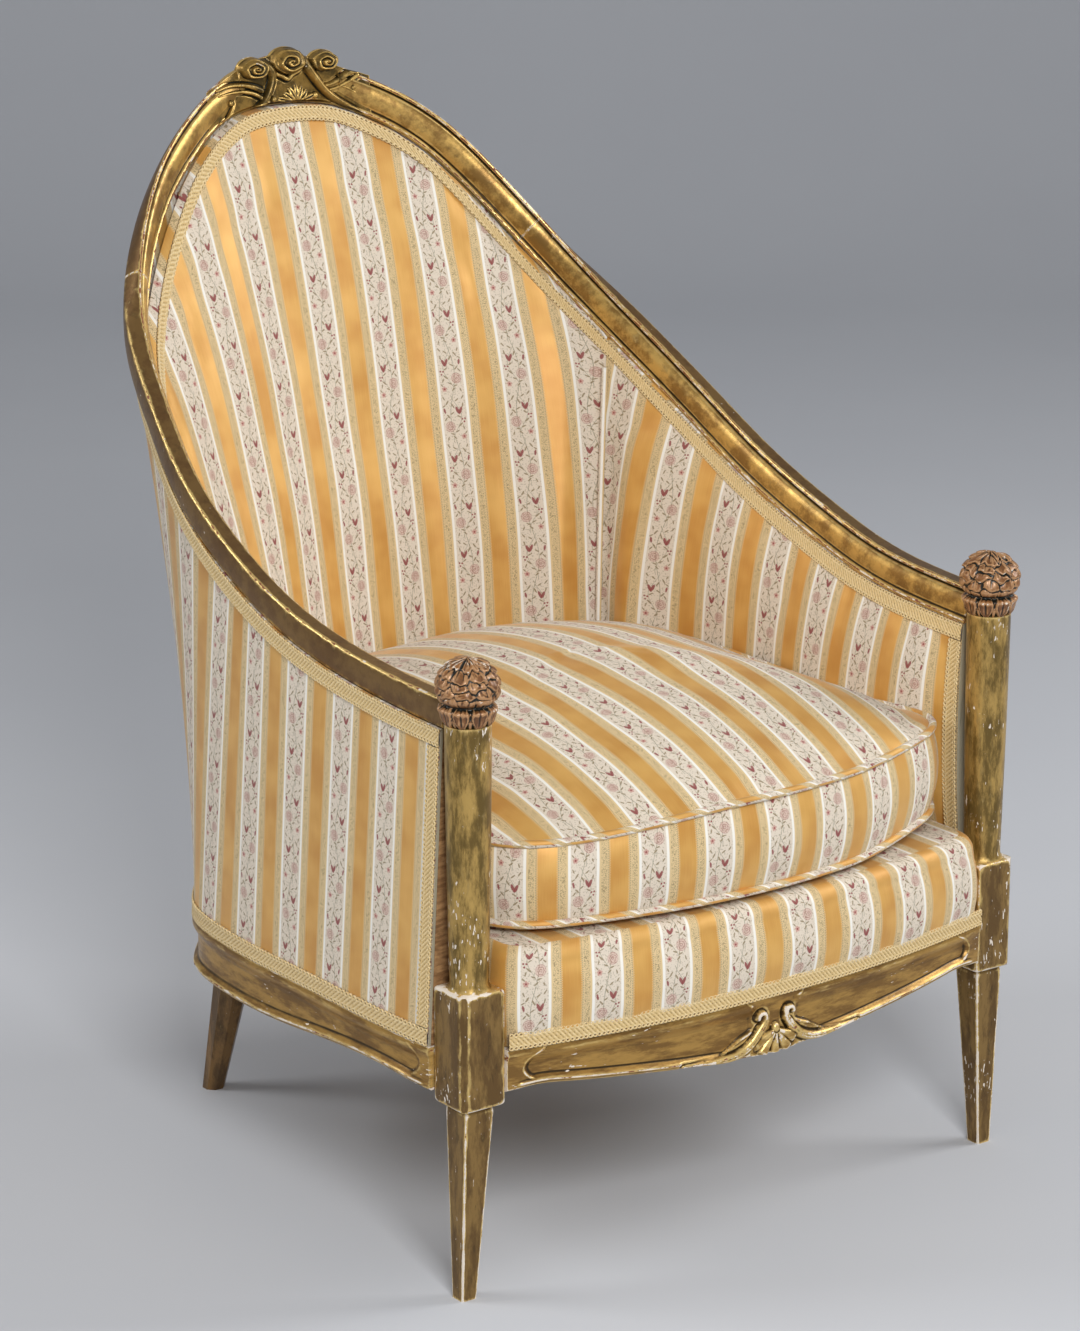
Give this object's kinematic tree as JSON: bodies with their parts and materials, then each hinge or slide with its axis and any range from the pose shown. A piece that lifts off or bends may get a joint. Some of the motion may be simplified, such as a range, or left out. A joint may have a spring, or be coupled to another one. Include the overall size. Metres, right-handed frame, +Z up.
{
  "type": "tub chair",
  "caption": "Low upholstered tub chair with a high rounded back that sweeps down into the arms, a carved gilt show-wood frame and a thick loose seat cushion.",
  "frame": {"origin": "middle of the footprint's bounding box, on the floor", "axes": "+Z up; -Y is the chair's front; -X is the left side as seen by someone who faces the chair"},
  "size_m": [0.6776, 0.839, 1.017],
  "materials": {
    "giltwood": "worn antique gilding over red-brown bole, chipped to white ground",
    "bare_wood": "planed, unfinished",
    "steel": "plain",
    "webbing": "coarse jute weave",
    "hessian": "open jute weave",
    "striped_fabric": "satin stripes of gold, beige and cream with a woven floral vine",
    "piping": "bias-cut covered cord",
    "gimp": "woven braid with looped edges"
  },
  "bodies": {
    "chair": {"front_post_left": "giltwood", "front_post_right": "giltwood", "finial_left": "giltwood", "finial_right": "giltwood", "rear_leg_left": "giltwood", "rear_leg_right": "giltwood", "arm_rail_left": "giltwood", "arm_rail_right": "giltwood", "crest_rail": "giltwood", "front_seat_rail": "giltwood", "back_seat_rail": "giltwood", "side_seat_rail_left": "giltwood", "side_seat_rail_right": "giltwood", "arm_stile_left": "bare_wood", "arm_stile_right": "bare_wood", "back_upright_left": "bare_wood", "back_upright_right": "bare_wood", "arm_stay_rail_left": "bare_wood", "arm_stay_rail_right": "bare_wood", "back_stay_rail": "bare_wood", "corner_block_left": "bare_wood", "corner_block_right": "bare_wood", "rail_dowels": "bare_wood", "frame_screws": "steel", "seat_webbing": "webbing", "back_webbing": "webbing", "seat_hessian": "hessian", "arm_hessian_left": "hessian", "arm_hessian_right": "hessian", "inside_back": "striped_fabric", "outside_back": "striped_fabric", "seat_deck": "striped_fabric", "inside_arm_left": "striped_fabric", "inside_arm_right": "striped_fabric", "outside_arm_left": "striped_fabric", "outside_arm_right": "striped_fabric", "seam_cord_left": "piping", "seam_cord_right": "piping", "gimp_under_rail": "gimp", "gimp_over_seat_rail": "gimp", "gimp_inside_rail": "gimp", "gimp_front_border": "gimp", "gimp_post_outer_left": "gimp", "gimp_post_outer_right": "gimp", "gimp_post_inner_left": "gimp", "gimp_post_inner_right": "gimp"},
    "cushion": {"seat_cushion": "striped_fabric", "cushion_cord_top": "piping", "cushion_cord_bottom": "piping"}
  },
  "joints": [
    {"name": "cushion_lift", "type": "slide", "parent": "chair", "child": "cushion", "axis": [0, 0, 1], "range_m": [0, 0.75]}
  ]
}
